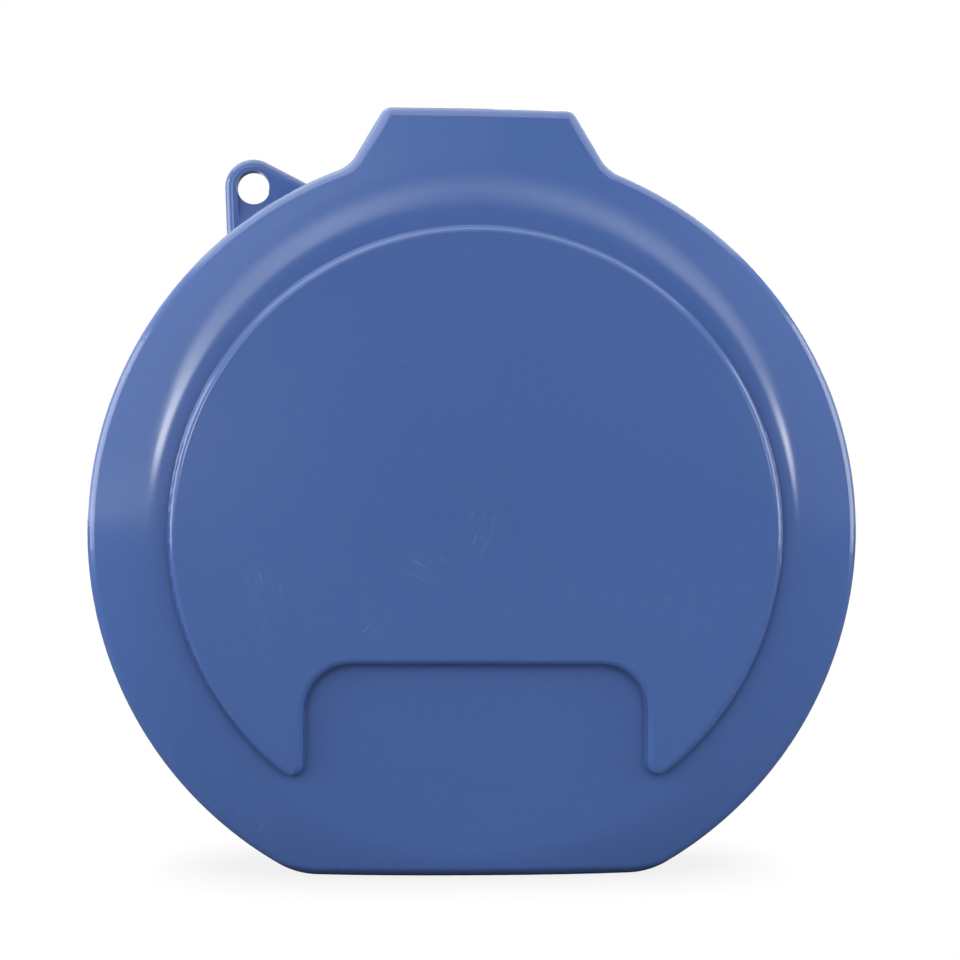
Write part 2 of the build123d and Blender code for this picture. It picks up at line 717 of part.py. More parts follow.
def spool_bolt():
    head_z = PLATE_Z1 + 0.05
    head = extrude(Pos(0, SPOOL_Y, head_z) * RegularPolygon(5.6, 6), 1.15)
    return cyl(0, SPOOL_Y, 1.4, head_z, BOLT_R) + head


def drag_washers():
    return [
        cyl(0, SPOOL_Y, 24.1, 25.1, 8.0) - cyl(0, SPOOL_Y, 20, 30, BOLT_R + 0.1),
        cyl(0, SPOOL_Y, 7.0, 7.9, 7.5) - cyl(0, SPOOL_Y, 0, 10, BOLT_R + 0.1),
    ]


def arm_screws():
    """Turned over, so that the heads face the ice."""
    return [
        Rot(180, 0, 0) * pan_screw(0, -y, -3.5, shank_r=1.5, length=2.5, head_r=3.0, head_h=1.8)
        for y in (PIVOT_Y, ARM_SCREW_Y)
    ]


# ---------------------------------------------------------------- trip rod
def trip_rod():
    """Long rod with its foot bent down towards the ice face."""
    rod = cyl_y(0, PIVOT_Y - 27.6, ROD_END - 0.1, PIVOT_Z, ROD_R)
    rod = rod - box(-3, 3, ROD_END - 3.2, ROD_END + 1, PIVOT_Z - 3, PIVOT_Z + 3)
    rod = rod + box(-1.4, 1.4, ROD_END - 3.4, ROD_END, ROD_FOOT_Z, PIVOT_Z + 1.45)
    return try_fillet(rod, edges_at_z(rod, ROD_FOOT_Z), [0.5])


def trip_head():
    hub = cyl_y(0, PIVOT_Y - 28, PIVOT_Y - 20, PIVOT_Z, 3.5)
    bar = Pos(0, PIVOT_Y - 26, PIVOT_Z) * Rot(90, 0, 0) * extrude(
        SlotOverall(21, 4.6, rotation=90), 2, both=True
    )
    bar = try_fillet(bar, bar.edges(), [0.7, 0.5])
    return hub + bar - cyl_y(0, PIVOT_Y - 27.7, PIVOT_Y - 10, PIVOT_Z, ROD_R + 0.03)


# ---------------------------------------------------------------- spool
def spool():
    body = (
        cyl(0, SPOOL_Y, SPOOL_Z0, SPOOL_Z0 + FLANGE, SPOOL_R)
        + cyl(0, SPOOL_Y, SPOOL_Z1 - FLANGE, SPOOL_Z1, SPOOL_R)
        + cyl(0, SPOOL_Y, SPOOL_Z0, SPOOL_Z1, 12.0)
    )
    outer_rims = [
        e for e in body.edges()
        if e.bounding_box().size.Z < 0.01 and e.bounding_box().size.X > 2 * SPOOL_R - 1
        and min(abs(e.center().Z - SPOOL_Z0), abs(e.center().Z - SPOOL_Z1)) < 0.01
    ]
    body = try_fillet(body, outer_rims, [0.9])
    body = body - cyl(0, SPOOL_Y, 0, 40, BOLT_R + 0.06)

    def flange_hole(degrees, z0, z1):
        angle = radians(degrees)
        return cyl(22.0 * cos(angle), SPOOL_Y + 22.0 * sin(angle), z0, z1, 4.6)

    for i in range(6):
        body = body - flange_hole(60 * i + 30, 20, 26)
    # the lower flange has no hole where the knob's post stands
    for i in (0, 1, 2, 4, 5):
        body = body - flange_hole(60 * i - 90, 6, 10.5)
    body = body + cyl(0, KNOB_Y, 1.6, SPOOL_Z0 + 1, 1.5)
    # bump on the rim that flicks the trip rod's foot as the spool turns
    return body + cyl(0, SPOOL_Y - SPOOL_R + 1.3, SPOOL_Z0, SPOOL_Z0 + FLANGE, 2.2)


def spool_line():
    gap = FLANGE + 0.05
    wound = cyl(0, SPOOL_Y, SPOOL_Z0 + gap, SPOOL_Z1 - gap, 27.0)
    return wound - cyl(0, SPOOL_Y, 0, 40, 12.05)


def winding_knob():
    knob = cyl(0, KNOB_Y, 1.0, SPOOL_Z0 - 0.15, 4.6)
    knob = try_fillet(knob, edges_at_z(knob, 1.0), [1.6])
    return knob - cyl(0, KNOB_Y, 1.55, 10, 1.55)


def line_lead():
    """Line from the wound spool out through the guide, with a knotted stop."""
    line_r, stop_y = 0.45, 112.9
    start = Vector(16.83, SPOOL_Y + 21.81, GUIDE_Z)
    turn = Vector(0, SPOOL_Y + 34.8, GUIDE_Z)
    run = turn - start
    lead = Plane(origin=(start + turn) / 2, z_dir=run) * Cylinder(line_r, run.length)
    straight = cyl_y(0, SPOOL_Y + 34.6, stop_y, GUIDE_Z, line_r)
    return lead + straight + Pos(0, stop_y, GUIDE_Z) * Sphere(1.2)


def wing_nut():
    nut = cyl(0, SPOOL_Y, 2.2, 6.9, 5.0)
    for side in SIDES:
        wing = extrude(SlotOverall(10, 3.8, rotation=-side * 14), 0.9, both=True)
        nut = nut + Pos(side * 8.0, SPOOL_Y, 4.2) * Rot(90, 0, 0) * wing
    return nut - cyl(0, SPOOL_Y, 0, 10, BOLT_R + 0.05)


# each file is named after the function that builds it
for build in (
    lid_shell, lid_foam, lid_magnets, base_shell, base_foam, base_magnets, deck_plate,
    deck_screws, hinge_pin, hinge_pin_cap, flag_bracket, bracket_screws, flag_pin, flag_holder,
    flag_staff, flag_cloth, flag_rivets, flag_spring, pivot_block, pivot_bushes, pivot_screws,
    arm_tube, tube_bush_upper, tube_bush_lower, reel_frame, line_guide, spool_bolt,
    drag_washers, arm_screws, trip_rod, trip_head, spool, spool_line, winding_knob, line_lead,
    wing_nut,
):
    save(build.__name__, build())
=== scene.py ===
"""Round blue ice-fishing tip-up case with its spool of line and orange flag.

The row frame is in metres, Z up. The closed case stands on edge with its centre 133.4 mm up;
its lid faces -Y, towards the camera, and its ice face is on the +Y side.
"""

import json
import math
import random

import bmesh
import bpy
from mathutils import Matrix, Vector, noise

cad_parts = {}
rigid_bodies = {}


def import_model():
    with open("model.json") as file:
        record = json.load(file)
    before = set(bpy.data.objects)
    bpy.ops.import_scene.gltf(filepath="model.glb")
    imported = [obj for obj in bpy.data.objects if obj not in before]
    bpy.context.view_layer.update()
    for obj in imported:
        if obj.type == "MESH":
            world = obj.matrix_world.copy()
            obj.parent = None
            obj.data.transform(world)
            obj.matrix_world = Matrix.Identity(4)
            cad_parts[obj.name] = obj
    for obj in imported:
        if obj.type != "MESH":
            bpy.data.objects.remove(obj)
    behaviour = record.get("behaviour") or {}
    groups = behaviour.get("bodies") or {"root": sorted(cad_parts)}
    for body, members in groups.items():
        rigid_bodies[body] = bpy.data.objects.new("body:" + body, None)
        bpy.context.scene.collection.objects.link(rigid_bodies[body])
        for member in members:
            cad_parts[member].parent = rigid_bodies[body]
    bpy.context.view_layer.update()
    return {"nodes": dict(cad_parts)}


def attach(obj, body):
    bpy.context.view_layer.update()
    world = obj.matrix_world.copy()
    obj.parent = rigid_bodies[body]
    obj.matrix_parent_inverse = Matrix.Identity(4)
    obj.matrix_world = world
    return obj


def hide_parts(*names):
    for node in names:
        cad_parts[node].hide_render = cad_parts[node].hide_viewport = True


for old in list(bpy.data.objects):
    bpy.data.objects.remove(old)
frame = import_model()
NODES = frame["nodes"]

MM = 0.001
TURN = 2 * math.pi
HALF_DEPTH = 25.5                  # mm, half the closed case's depth
CENTRE_UP = 133.4                  # mm, height of the case's centre in the row frame


def flat(x, y, z):
    """Working frame of the closed case lying on its ice face (mm) to the row frame (m)."""
    return Vector((x * MM, (HALF_DEPTH - z) * MM, (y + CENTRE_UP) * MM))


# ---------------------------------------------------------------- colours
def srgb(red, green, blue):
    """0-255 display colour to linear."""
    def linear(c):
        c /= 255.0
        return c / 12.92 if c <= 0.04045 else ((c + 0.055) / 1.055) ** 2.4
    return (linear(red), linear(green), linear(blue), 1.0)


def tint(color, factor, lift=0.0):
    return tuple(min(1.0, c * factor + lift) for c in color[:3]) + (1.0,)


# ---------------------------------------------------------------- node helpers
class Graph:
    """Short calls for building a node tree; each value may be a number or a socket."""

    def __init__(self, owner):
        owner.use_nodes = True
        self.tree = owner.node_tree
        self.tree.nodes.clear()

    def put(self, socket, value):
        if isinstance(value, bpy.types.NodeSocket):
            self.tree.links.new(value, socket)
        elif value is not None:
            socket.default_value = value

    def add(self, kind, inputs=None, **settings):
        """Adds a node and returns its outputs."""
        node = self.tree.nodes.new("ShaderNode" + kind)
        for key, value in settings.items():
            setattr(node, key, value)
        for key, value in (inputs or {}).items():
            self.put(node.inputs[key], value)
        return node.outputs

    def step(self, value, span, to=(0.0, 1.0), kind="SMOOTHSTEP"):
        """Maps the span of values to another, clamped."""
        return self.add("MapRange", {"Value": value, "From Min": span[0], "From Max": span[1],
                                     "To Min": to[0], "To Max": to[1]},
                        clamp=True, interpolation_type=kind)[0]

    def math(self, operation, a, b=0.0):
        return self.add("Math", {0: a, 1: b}, operation=operation)[0]

    def times(self, product, *factors):
        for factor in factors:
            product = self.math("MULTIPLY", product, factor)
        return product

    def axes(self, vector):
        return self.add("SeparateXYZ", {0: vector})

    def grey(self, value):
        return self.add("CombineColor", {0: value, 1: value, 2: value})[0]

    def camera_switch(self, seen, other):
        """One shader for camera rays, another for all other rays."""
        ray = self.add("LightPath")["Is Camera Ray"]
        return self.add("MixShader", {0: ray, 1: other, 2: seen})[0]


class Mat(Graph):
    """A principled material textured in object coordinates (metres)."""

    def __init__(self, name):
        self.material = bpy.data.materials.new(name)
        super().__init__(self.material)
        self.coords = self.add("TexCoord")["Object"]

    def surface(self, **inputs):
        """Adds the shader, with underscores for spaces in input names; returns the material."""
        named = {key.replace("_", " "): value for key, value in inputs.items()}
        self.add("OutputMaterial", {0: self.add("BsdfPrincipled", named)[0]})
        return self.material

    def place(self, scale=(1, 1, 1), rot=(0, 0, 0), loc=(0, 0, 0), vec=None):
        return self.add("Mapping", {"Vector": vec or self.coords, "Scale": scale,
                                    "Rotation": rot, "Location": loc})[0]

    def noise(self, scale, detail=2.0, rough=0.5, vec=None):
        return self.add("TexNoise", {"Vector": vec or self.coords, "Scale": scale,
                                     "Detail": detail, "Roughness": rough})[0]

    def blotch(self, scale, span, to=(0.0, 1.0), detail=2.0, rough=0.5, vec=None):
        """Noise, stepped."""
        return self.step(self.noise(scale, detail, rough, vec), span, to)

    def voronoi(self, scale, feature="F1"):
        return self.add("TexVoronoi", {"Vector": self.coords, "Scale": scale}, feature=feature)

    def vector(self, operation, a, b=None):
        return self.add("VectorMath", {0: a, 1: b}, operation=operation)

    def mix(self, fac, a, b):
        return self.add("Mix", {0: fac, 6: a, 7: b}, data_type="RGBA")[2]

    def bump(self, height, dist, strength=1.0, normal=None):
        return self.add("Bump", {"Height": height, "Distance": dist, "Strength": strength,
                                 "Normal": normal})[0]

    def edge(self, radius, span=(0.04, 0.30)):
        """Mask of sharp edges, from the bevel node against the true normal."""
        bevel = self.add("Bevel", {"Radius": radius}, samples=4)[0]
        normal = self.add("NewGeometry")["Normal"]
        agreement = self.vector("DOT_PRODUCT", bevel, normal)["Value"]
        return self.step(self.math("SUBTRACT", 1.0, agreement), span)

    def scratches(self, angles, length, width, span, patch):
        """Sparse hairlines in the X-Z plane: strongly stretched noise, stepped, in patches.

        length and width are noise scales along and across a line, patch that of the patches.
        """
        total = None
        for i, angle in enumerate(angles):
            line_vec = self.place(rot=(0, math.radians(angle), 0), loc=(0.13 * i, 0.0, 0.29 * i))
            line_vec = self.place(scale=(length, width * 0.3, width), vec=line_vec)
            line = self.blotch(scale=1.0, detail=1.0, rough=0.4, vec=line_vec, span=span)
            patch_vec = self.place(loc=(1.7 * i + 3, 2.2, 0.9 * i))
            where = self.blotch(scale=patch, vec=patch_vec, span=(0.52, 0.68))
            line = self.times(line, where)
            total = line if total is None else self.math("MAXIMUM", total, line)
        return total


# ---------------------------------------------------------------- shell materials
SHELL_BLUE = srgb(73, 103, 165)

# the lid's turned profile: radii in mm from its centre
BEND_START, BEND_END, FULL_SLOPE = 122.6, 127.3, 142.6
LIP_START, LIP_END = 114.8, 117.5  # rounded edge of the raised plateau
TURNED_END = 146.5
BEND_SINE = math.sin(math.radians(8))     # of the tilt where the bend ends
SLOPE_SINE = math.sin(math.radians(17))   # of the tilt at full slope

# rubbed places on the lid's face: x, z, radius (m), angle (degrees), amount
SCUFFS = [
    (0.000, 0.1348, 0.013, 60, 0.30),
    (-0.0192, 0.1207, 0.011, -30, 0.34),
    (-0.081, 0.1133, 0.013, -70, 0.26),
    (-0.0403, 0.0996, 0.009, 40, 0.30),
    (-0.0806, 0.0229, 0.010, 55, 0.18),
    (0.052, 0.0836, 0.010, 20, 0.10),
]


def add_scuffs(m, mark, face):
    """Streaks within each rubbed place, fading out from its centre."""
    for x, z, radius, angle, amount in SCUFFS:
        centred = m.place(loc=(-x, 0, -z))
        distance = m.vector("LENGTH", m.place(scale=(1, 0, 1), vec=centred))["Value"]
        where = m.step(distance, span=(radius, radius * 0.1))
        streak_vec = m.place(rot=(0, math.radians(angle), 0), vec=centred)
        streak_vec = m.place(scale=(90, 1, 1700), vec=streak_vec)
        streak = m.blotch(scale=1.0, rough=0.55, vec=streak_vec, span=(0.54, 0.80))
        mark = m.math("MAXIMUM", mark, m.times(where, streak, amount, face))
    return mark


def add_dust(m, mark):
    """A small dot in the few cells whose random colour is high."""
    cells = m.voronoi(scale=110.0)
    pick = m.add("SeparateColor", {"Color": cells["Color"]})[0]
    dot = m.times(m.step(cells["Distance"], span=(0.050, 0.025)),
                  m.math("GREATER_THAN", pick, 0.975))
    return m.math("MAXIMUM", mark, m.times(dot, 0.16))


def corner_shade(m, position, face):
    """Painted shade in the corner round the plateau: the colour darkens where occlusion finds the
    wall close, less along its top, where light from above fills the corner.
    """
    occlusion = m.add("AmbientOcclusion", {"Distance": 0.0055}, samples=8)["AO"]
    above = m.math("SUBTRACT", position[2], CENTRE_UP * MM)
    beside = m.math("MAXIMUM", m.math("ABSOLUTE", position[0]), 0.001)
    off_top = m.step(m.math("DIVIDE", above, beside), span=(1.2, 0.35))
    return m.times(m.step(occlusion, span=(0.96, 0.52), to=(0.0, 0.42)), off_top, face)


def turned_normal(m):
    """Exact normal of the lid's turned surfaces, used only where the mesh's own agrees with it,
    so that highlights run evenly round the disc. Lengths are in mm."""
    position = m.axes(m.coords)
    x = m.times(position[0], 1000.0)
    z = m.times(m.math("SUBTRACT", position[2], CENTRE_UP * MM), 1000.0)

    def length(a, b):
        return m.math("SQRT", m.math("ADD", m.times(a, a), m.times(b, b)))

    radius = length(x, z)
    # sine of the tilt on the outer slope, in two linear parts
    ring = m.math("ADD",
                  m.step(radius, (BEND_START, BEND_END), (0.0, BEND_SINE), "LINEAR"),
                  m.step(radius, (BEND_END, FULL_SLOPE), (0.0, SLOPE_SINE - BEND_SINE), "LINEAR"))
    # the lip's angle comes from height and radius together, so facets don't show
    outward = m.math("MAXIMUM", m.math("SUBTRACT", radius, LIP_START), 0.0)
    height = m.math("SUBTRACT", HALF_DEPTH, m.times(position[1], 1000.0))
    lip_base = 2 * HALF_DEPTH - (LIP_END - LIP_START)
    rise = m.math("MAXIMUM", m.math("SUBTRACT", height, lip_base), 0.0)
    reach = length(outward, rise)
    on_lip = m.times(m.math("GREATER_THAN", outward, 0.0),
                     m.math("LESS_THAN", radius, LIP_END + 0.02))
    lip_sine = m.math("DIVIDE", outward, m.math("MAXIMUM", reach, 0.001))
    lip = m.times(m.math("MINIMUM", lip_sine, 0.999), on_lip)
    tilt = m.math("ADD", ring, lip)
    per_mm = m.math("DIVIDE", tilt, m.math("MAXIMUM", radius, 1.0))
    cosine = m.math("SQRT", m.math("SUBTRACT", 1.0, m.times(tilt, tilt)))
    exact = m.add("CombineXYZ", {1: m.times(cosine, -1.0), 0: m.times(x, per_mm),
                                 2: m.times(z, per_mm)})[0]
    exact = m.add("VectorTransform", {0: exact}, vector_type="NORMAL",
                  convert_from="OBJECT", convert_to="WORLD")[0]

    own = m.add("NewGeometry")["Normal"]
    agreement = m.vector("DOT_PRODUCT", exact, own)["Value"]

    def within(none, full):
        """1 where the normals are closer than `full` degrees, 0 beyond `none`."""
        return m.step(agreement, (math.cos(math.radians(none)), math.cos(math.radians(full))))

    turned_part = m.math("LESS_THAN", radius, TURNED_END)
    near = within(none=13, full=7)
    wide = m.times(within(none=40, full=26), on_lip)
    fac = m.times(m.math("MAXIMUM", near, wide), turned_part)
    blend = m.add("Mix", {0: fac, 4: own, 5: exact}, data_type="VECTOR")[1]
    return m.vector("NORMALIZE", blend)[0]


def shell_material(name, base=SHELL_BLUE, rough=0.13, marked=True, grain=0.000012, turned=False):
    """Moulded shell; `marked` adds scuffs and dust, `turned` the lid's normal and the painted
    shade in the corner round its plateau.
    A turned shell has to be marked too."""
    m = Mat(name)
    color = m.mix(m.blotch(scale=5.0, span=(0.30, 0.70)), tint(base, 0.965), tint(base, 1.03))
    speckle = m.blotch(scale=300.0, detail=3.0, rough=0.6, span=(0.48, 0.78), to=(0.0, 0.05))
    color = m.mix(speckle, color, (0.16, 0.26, 0.50, 1.0))
    # very faint handling marks all over
    mark = m.times(m.scratches((18, -42, 77, 121), length=11.0, width=1300.0,
                               span=(0.70, 0.76), patch=15.0), 0.05)
    if marked:
        position = m.axes(m.coords)
        face = m.step(position[1], span=(-0.0105, -0.0145))
        mark = add_dust(m, add_scuffs(m, mark, face))
    color = m.mix(mark, color, (0.42, 0.52, 0.72, 1.0))
    wear = m.times(m.edge(radius=0.0007),
                   m.blotch(scale=120.0, detail=3.0, rough=0.6, span=(0.36, 0.66),
                            to=(0.10, 0.34)))
    color = m.mix(wear, color, (0.30, 0.42, 0.66, 1.0))
    if turned:
        # painted shade: the base colour darkened in the corner round the plateau
        color = m.mix(corner_shade(m, position, face), color, tint(base, 0.12))
    roughness = m.blotch(scale=22.0, span=(0.3, 0.7), to=(rough - 0.015, rough + 0.02))
    roughness = m.math("ADD", roughness, m.times(mark, 0.5))
    normal = m.bump(m.noise(scale=1100.0), dist=grain, strength=0.5,
                    normal=turned_normal(m) if turned else None)
    return m.surface(Base_Color=color, Roughness=roughness, Normal=normal, IOR=1.50,
                     Specular_IOR_Level=0.55)


# ---------------------------------------------------------------- other materials
def foam_material():
    """White foam of pressed beads with darker gaps."""
    m = Mat("foam_white_bead")
    bead = m.voronoi(scale=260.0)["Distance"]
    gap = m.voronoi(scale=260.0, feature="DISTANCE_TO_EDGE")["Distance"]
    color = m.mix(m.step(gap, span=(0.0, 0.10)), (0.62, 0.62, 0.60, 1), (0.86, 0.86, 0.83, 1))
    stain = m.blotch(scale=14.0, detail=3.0, span=(0.35, 0.7), to=(0.0, 0.18))
    color = m.mix(stain, color, (0.70, 0.68, 0.60, 1))
    normal = m.bump(m.step(gap, span=(0.0, 0.22)), dist=0.00030, strength=0.9)
    normal = m.bump(m.noise(scale=1800.0), dist=0.00005, strength=0.4, normal=normal)
    return m.surface(Base_Color=color, Normal=normal,
                     Roughness=m.step(bead, span=(0.0, 0.6), to=(0.62, 0.80)),
                     Subsurface_Weight=0.15, Subsurface_Radius=(0.002, 0.002, 0.002))


def plastic(name, base, rough, grain_scale=900.0, grain=0.00005, worn=None):
    """Moulded plastic; grain is the height of its texture (m), worn the colour of its edges."""
    m = Mat(name)
    color = m.mix(m.blotch(scale=70.0, detail=3.0, rough=0.6, span=(0.33, 0.67)),
                  tint(base, 0.88), tint(base, 1.12, lift=0.004))
    dust = m.blotch(scale=260.0, detail=4.0, rough=0.7, span=(0.58, 0.78), to=(0.0, 0.12))
    color = m.mix(dust, color, (0.35, 0.35, 0.36, 1.0))
    wear = m.times(m.edge(radius=0.0004),
                   m.blotch(scale=300.0, detail=3.0, span=(0.4, 0.65), to=(0.0, 0.55)))
    color = m.mix(wear, color, worn or tint(base, 1.8, lift=0.05))
    lines = m.scratches((33, -58), length=40.0, width=2200.0, span=(0.66, 0.74), patch=40.0)
    roughness = m.blotch(scale=140.0, span=(0.3, 0.7), to=(rough - 0.04, rough + 0.06))
    roughness = m.math("ADD", roughness, m.times(lines, 0.25))
    normal = m.bump(m.noise(grain_scale, detail=3.0, rough=0.6), dist=grain, strength=0.7)
    return m.surface(Base_Color=color, Roughness=roughness, Normal=normal)


def metal(name, base, rough, streak, stretch=(1, 1, 1), wear=0.3,
          tarnish=(0.30, 0.28, 0.25, 1)):
    """Metal with fine streaks (noise scale and stretch) and blots of tarnish."""
    m = Mat(name)
    lines = m.noise(streak, detail=3.0, rough=0.6, vec=m.place(scale=stretch))
    blot = m.noise(scale=90.0, detail=4.0, rough=0.65)
    color = m.mix(m.step(lines, span=(0.3, 0.7)), tint(base, 0.86), base)
    color = m.mix(m.step(blot, span=(0.55, 0.80), to=(0.0, wear)), color, tarnish)
    roughness = m.math("ADD", m.step(lines, span=(0.3, 0.7), to=(rough - 0.05, rough + 0.08)),
                       m.step(blot, span=(0.5, 0.8), to=(0.0, 0.15)))
    return m.surface(Base_Color=color, Metallic=1.0, Roughness=roughness,
                     Normal=m.bump(lines, dist=0.000012, strength=0.8))


def line_material():
    """Dark green braid."""
    m = Mat("line_braided")
    strand = m.voronoi(scale=1500.0)["Distance"]
    color = m.mix(m.step(strand, span=(0.1, 0.6)), (0.020, 0.032, 0.026, 1),
                  (0.055, 0.075, 0.060, 1))
    faded = m.blotch(scale=60.0, span=(0.45, 0.7), to=(0.0, 0.35))
    color = m.mix(faded, color, (0.10, 0.12, 0.10, 1))
    return m.surface(Base_Color=color, Roughness=0.72, Sheen_Weight=0.3,
                     Normal=m.bump(strand, dist=0.00012, strength=0.8))


def cloth_material():
    """Blaze orange nylon: plain weave in the sheet's own plane (X and Z of the row frame)."""
    m = Mat("flag_nylon")
    position = m.axes(m.coords)
    rate = TURN / 0.0009               # one weave repeat every 0.9 mm
    wave_x = m.math("SINE", m.times(position[0], rate))
    wave_z = m.math("SINE", m.times(position[2], rate))
    weave = m.times(m.math("ADD", m.times(wave_x, wave_z), 1.0), 0.5)
    color = m.mix(weave, srgb(196, 48, 2), srgb(236, 78, 6))
    uneven = m.blotch(scale=30.0, detail=3.0, span=(0.35, 0.7), to=(0.0, 0.25))
    color = m.mix(uneven, color, srgb(214, 66, 10))
    soil = m.blotch(scale=170.0, detail=4.0, rough=0.7, span=(0.60, 0.80), to=(0.0, 0.20))
    color = m.mix(soil, color, srgb(150, 60, 20))
    normal = m.bump(weave, dist=0.00010, strength=0.8)
    normal = m.bump(m.noise(scale=220.0, detail=3.0), dist=0.0003, strength=0.5, normal=normal)
    return m.surface(Base_Color=color, Normal=normal, Sheen_Weight=0.06,
                     Roughness=m.step(weave, span=(0.0, 1.0), to=(0.62, 0.50)))


def thread_material():
    m = Mat("thread_white")
    fibre = m.noise(scale=2500.0)
    color = m.mix(m.step(fibre, span=(0.35, 0.65)), (0.50, 0.47, 0.42, 1), (0.80, 0.78, 0.72, 1))
    return m.surface(Base_Color=color, Roughness=0.75,
                     Normal=m.bump(fibre, dist=0.0001, strength=0.6))


MATS = {
    "lid": shell_material("shell_blue_lid", turned=True),
    "shell": shell_material("shell_blue_moulded"),
    "deck": shell_material("deck_blue_matt", base=srgb(58, 86, 142), rough=0.42, marked=False,
                           grain=0.00004),
    "foam": foam_material(),
    "black": plastic("nylon_black_filled", base=(0.018, 0.018, 0.020, 1), rough=0.46),
    "acetal": plastic("acetal_black", base=(0.022, 0.022, 0.024, 1), rough=0.30,
                      grain_scale=500.0, grain=0.00002),
    "natural": plastic("nylon_natural", base=(0.66, 0.62, 0.50, 1), rough=0.40,
                       grain_scale=700.0, grain=0.00003, worn=(0.8, 0.78, 0.7, 1)),
    "orange": plastic("moulded_orange", base=srgb(232, 78, 14), rough=0.32,
                      grain_scale=600.0, grain=0.00003, worn=srgb(255, 150, 90)),
    "steel": metal("zinc_plated_steel", base=(0.60, 0.61, 0.62, 1), rough=0.28, streak=900.0),
    "spring": metal("spring_steel", base=(0.42, 0.43, 0.45, 1), rough=0.24, streak=900.0,
                    stretch=(8, 8, 0.15), wear=0.2, tarnish=(0.16, 0.18, 0.24, 1)),
    "alu": metal("drawn_aluminium", base=(0.74, 0.75, 0.76, 1), rough=0.30, streak=1000.0,
                 stretch=(9, 9, 0.12), wear=0.2, tarnish=(0.5, 0.5, 0.5, 1)),
    "magnet": metal("nickel_plate", base=(0.68, 0.67, 0.64, 1), rough=0.16, streak=500.0,
                    wear=0.12),
    "line": line_material(),
    "flag": cloth_material(),
    "thread": thread_material(),
}

# material of each CAD piece
USE = {
    "lid": ["lid_shell"],
    "shell": ["base_shell"],
    "deck": ["deck_plate"],
    "foam": ["base_foam", "lid_foam"],
    "black": ["pivot_block", "reel_frame", "flag_holder", "hinge_pin_cap"],
    "acetal": ["spool"],
    "natural": ["pivot_bushes", "tube_bush_upper", "tube_bush_lower", "drag_washers"],
    "orange": ["trip_head", "winding_knob"],
    "steel": ["deck_screws", "hinge_pin", "flag_bracket", "bracket_screws", "flag_pin",
              "pivot_screws", "flag_rivets", "spool_bolt", "line_guide", "arm_screws",
              "trip_rod", "wing_nut"],
    "spring": ["flag_staff", "flag_spring"],
    "alu": ["arm_tube"],
    "magnet": ["base_magnets", "lid_magnets"],
    "line": ["line_lead", "spool_line"],
    "flag": ["flag_cloth"],
}
for key, piece_names in USE.items():
    for piece_name in piece_names:
        slots = NODES[piece_name].data.materials
        slots.clear()
        slots.append(MATS[key])


# ---------------------------------------------------------------- mesh helpers
def new_object(name, bm, mat, smooth=True):
    mesh = bpy.data.meshes.new(name)
    bm.to_mesh(mesh)
    bm.free()
    mesh.materials.append(mat)
    if smooth:
        mesh.polygons.foreach_set("use_smooth", [True] * len(mesh.polygons))
    obj = bpy.data.objects.new(name, mesh)
    bpy.context.scene.collection.objects.link(obj)
    return obj


def tube(bm, points, radius, sides=6, closed=False):
    """Sweeps a small ring of vertices along the points."""
    count = len(points)
    rings = []
    for i, point in enumerate(points):
        before = points[(i - 1) % count] if closed or i > 0 else point
        after = points[(i + 1) % count] if closed or i < count - 1 else point
        along = (after - before).normalized()
        side = along.cross(Vector((0, 1, 0)))
        if side.length < 1e-6:
            side = along.cross(Vector((1, 0, 0)))
        side.normalize()
        top = side.cross(along).normalized()
        ring = []
        for k in range(sides):
            angle = TURN * k / sides
            ring.append(bm.verts.new(point + side * (radius * math.cos(angle))
                                     + top * (radius * math.sin(angle))))
        rings.append(ring)
    for i in range(count if closed else count - 1):
        a, b = rings[i], rings[(i + 1) % count]
        for k in range(sides):
            j = (k + 1) % sides
            bm.faces.new((a[k], a[j], b[j], b[k]))
    if not closed:
        bm.faces.new(rings[0])
        bm.faces.new(list(reversed(rings[-1])))


# ---------------------------------------------------------------- wound line (mm)
SPOOL_Y = 76.0                     # spool axis in the working frame, at x = 0
WINDING_R, HUB_R = 25.9, 12.3
WINDING_Z = (10.35, 21.65)
BODY_SEGMENTS = 96
LINE_R = 0.46
CROSSING_LINE_R = 0.44
SIDE_Z = (10.60, 21.40)            # heights of the coils on the winding's two sides
SIDE_COILS = 15
SIDE_COIL_R, SIDE_PITCH = 12.9, 0.93
SIDE_SEGMENTS = 64


def spool_point(radius, angle, z):
    return flat(radius * math.cos(angle), SPOOL_Y + radius * math.sin(angle), z)


def winding_body(bm):
    outer_low, outer_high, hub_low, hub_high = [
        [bm.verts.new(spool_point(radius, TURN * k / BODY_SEGMENTS, z))
         for k in range(BODY_SEGMENTS)]
        for radius in (WINDING_R, HUB_R) for z in WINDING_Z]
    for k in range(BODY_SEGMENTS):
        j = (k + 1) % BODY_SEGMENTS
        bm.faces.new((outer_low[k], outer_low[j], outer_high[j], outer_high[k]))
        bm.faces.new((hub_low[j], hub_low[k], hub_high[k], hub_high[j]))
        bm.faces.new((outer_low[j], outer_low[k], hub_low[k], hub_low[j]))
        bm.faces.new((outer_high[k], outer_high[j], hub_high[j], hub_high[k]))


def drift(angle, amount, rate, seed_y, seed_z):
    """Small unevenness along a helix."""
    return amount * noise.noise(Vector((angle * rate, seed_y, seed_z)))


def helix(turns, turn_steps, phase, z_ends, radius, r_drift, z_drift=(0, 0, 0, 0)):
    steps = abs(turns) * turn_steps
    points = []
    for i in range(steps + 1):
        angle = TURN * turns * i / steps + phase
        z = z_ends[0] + (z_ends[1] - z_ends[0]) * i / steps + drift(angle, *z_drift)
        points.append(spool_point(radius + drift(angle, *r_drift), angle, z))
    return points


